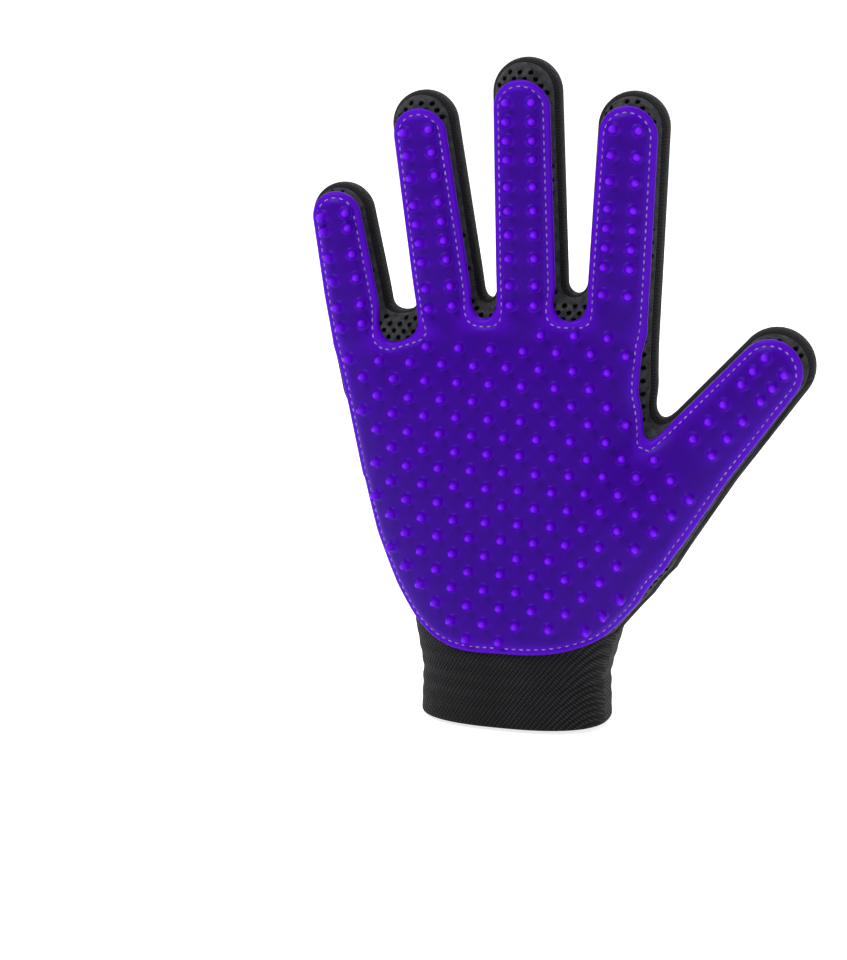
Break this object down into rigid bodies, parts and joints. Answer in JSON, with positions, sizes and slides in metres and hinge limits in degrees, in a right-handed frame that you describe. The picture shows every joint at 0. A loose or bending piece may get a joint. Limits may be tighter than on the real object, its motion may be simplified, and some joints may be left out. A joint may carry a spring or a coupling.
{
  "type": "pet grooming glove",
  "caption": "Right-hand pet grooming glove with a nubbed rubber palm, air-mesh back, side gussets and an elastic wrist with a hook and loop flap.",
  "frame": {"origin": "centre of the wrist opening, at the cuff's bottom edge", "axes": "+Z along the hand from the wrist to the fingertips, +X towards the thumb, -Y the way the nubbed palm faces"},
  "size_m": [0.1785, 0.0545, 0.2318],
  "materials": {
    "rubber": "satin",
    "mesh_fabric": "matte",
    "stretch_fabric": "matte",
    "elastic": "matte",
    "binding_tape": "matte",
    "loop_tape": "matte",
    "hook_tape": "matte"
  },
  "bodies": {
    "hand": {"hand_back_mesh": "mesh_fabric", "hand_palm_mesh": "mesh_fabric", "hand_gusset": "stretch_fabric", "palm_rubber": "rubber", "keyhole_binding": "binding_tape", "cuff_elastic": "elastic", "loop_patch": "loop_tape", "loop_patch_end": "binding_tape"},
    "closure_flap": {"flap_elastic": "elastic", "flap_binding": "binding_tape", "hook_patch": "hook_tape"},
    "little_base": {"little_base_back_mesh": "mesh_fabric", "little_base_palm_mesh": "mesh_fabric", "little_base_gusset": "stretch_fabric", "little_base_rubber": "rubber"},
    "little_tip": {"little_tip_back_mesh": "mesh_fabric", "little_tip_palm_mesh": "mesh_fabric", "little_tip_gusset": "stretch_fabric", "little_tip_rubber": "rubber"},
    "ring_base": {"ring_base_back_mesh": "mesh_fabric", "ring_base_palm_mesh": "mesh_fabric", "ring_base_gusset": "stretch_fabric", "ring_base_rubber": "rubber"},
    "ring_tip": {"ring_tip_back_mesh": "mesh_fabric", "ring_tip_palm_mesh": "mesh_fabric", "ring_tip_gusset": "stretch_fabric", "ring_tip_rubber": "rubber"},
    "middle_base": {"middle_base_back_mesh": "mesh_fabric", "middle_base_palm_mesh": "mesh_fabric", "middle_base_gusset": "stretch_fabric", "middle_base_rubber": "rubber"},
    "middle_tip": {"middle_tip_back_mesh": "mesh_fabric", "middle_tip_palm_mesh": "mesh_fabric", "middle_tip_gusset": "stretch_fabric", "middle_tip_rubber": "rubber"},
    "index_base": {"index_base_back_mesh": "mesh_fabric", "index_base_palm_mesh": "mesh_fabric", "index_base_gusset": "stretch_fabric", "index_base_rubber": "rubber"},
    "index_tip": {"index_tip_back_mesh": "mesh_fabric", "index_tip_palm_mesh": "mesh_fabric", "index_tip_gusset": "stretch_fabric", "index_tip_rubber": "rubber"},
    "thumb_base": {"thumb_base_back_mesh": "mesh_fabric", "thumb_base_palm_mesh": "mesh_fabric", "thumb_base_gusset": "stretch_fabric", "thumb_base_rubber": "rubber"},
    "thumb_tip": {"thumb_tip_back_mesh": "mesh_fabric", "thumb_tip_palm_mesh": "mesh_fabric", "thumb_tip_gusset": "stretch_fabric", "thumb_tip_rubber": "rubber"}
  },
  "joints": [
    {"name": "little_knuckle", "type": "hinge", "parent": "hand", "child": "little_base", "pos_m": [-0.0594, -0.01235, 0.15], "axis": [0.9829, 0, 0.184], "range_deg": [0, 75], "stiffness_Nm_per_rad": 0.03},
    {"name": "little_middle_joint", "type": "hinge", "parent": "little_base", "child": "little_tip", "pos_m": [-0.06262, -0.01235, 0.1672], "axis": [0.9829, 0, 0.184], "range_deg": [0, 80], "stiffness_Nm_per_rad": 0.03},
    {"name": "ring_knuckle", "type": "hinge", "parent": "hand", "child": "ring_base", "pos_m": [-0.0263, -0.0131, 0.158], "axis": [0.9882, 0, 0.153], "range_deg": [0, 75], "stiffness_Nm_per_rad": 0.03},
    {"name": "ring_middle_joint", "type": "hinge", "parent": "ring_base", "child": "ring_tip", "pos_m": [-0.03074, -0.0131, 0.18666], "axis": [0.9882, 0, 0.153], "range_deg": [0, 80], "stiffness_Nm_per_rad": 0.03},
    {"name": "middle_knuckle", "type": "hinge", "parent": "hand", "child": "middle_base", "pos_m": [0.0045, -0.01335, 0.16], "axis": [0.9994, 0, 0.0349], "range_deg": [0, 75], "stiffness_Nm_per_rad": 0.03},
    {"name": "middle_middle_joint", "type": "hinge", "parent": "middle_base", "child": "middle_tip", "pos_m": [0.00333, -0.01335, 0.19348], "axis": [0.9994, 0, 0.0349], "range_deg": [0, 80], "stiffness_Nm_per_rad": 0.03},
    {"name": "index_knuckle", "type": "hinge", "parent": "hand", "child": "index_base", "pos_m": [0.0375, -0.0131, 0.158], "axis": [0.999, 0, -0.0454], "range_deg": [0, 75], "stiffness_Nm_per_rad": 0.03},
    {"name": "index_middle_joint", "type": "hinge", "parent": "index_base", "child": "index_tip", "pos_m": [0.03882, -0.0131, 0.18697], "axis": [0.999, 0, -0.0454], "range_deg": [0, 80], "stiffness_Nm_per_rad": 0.03},
    {"name": "thumb_knuckle", "type": "hinge", "parent": "hand", "child": "thumb_base", "pos_m": [0.0656, -0.0141, 0.0995], "axis": [0.7727, 0, -0.6347], "range_deg": [0, 45], "stiffness_Nm_per_rad": 0.03},
    {"name": "thumb_middle_joint", "type": "hinge", "parent": "thumb_base", "child": "thumb_tip", "pos_m": [0.08147, -0.0141, 0.11882], "axis": [0.7727, 0, -0.6347], "range_deg": [0, 60], "stiffness_Nm_per_rad": 0.03},
    {"name": "flap_hinge", "type": "hinge", "parent": "hand", "child": "closure_flap", "pos_m": [-0.025, 0.0229, 0.017], "axis": [0, 0, 1], "range_deg": [0, 140]}
  ]
}
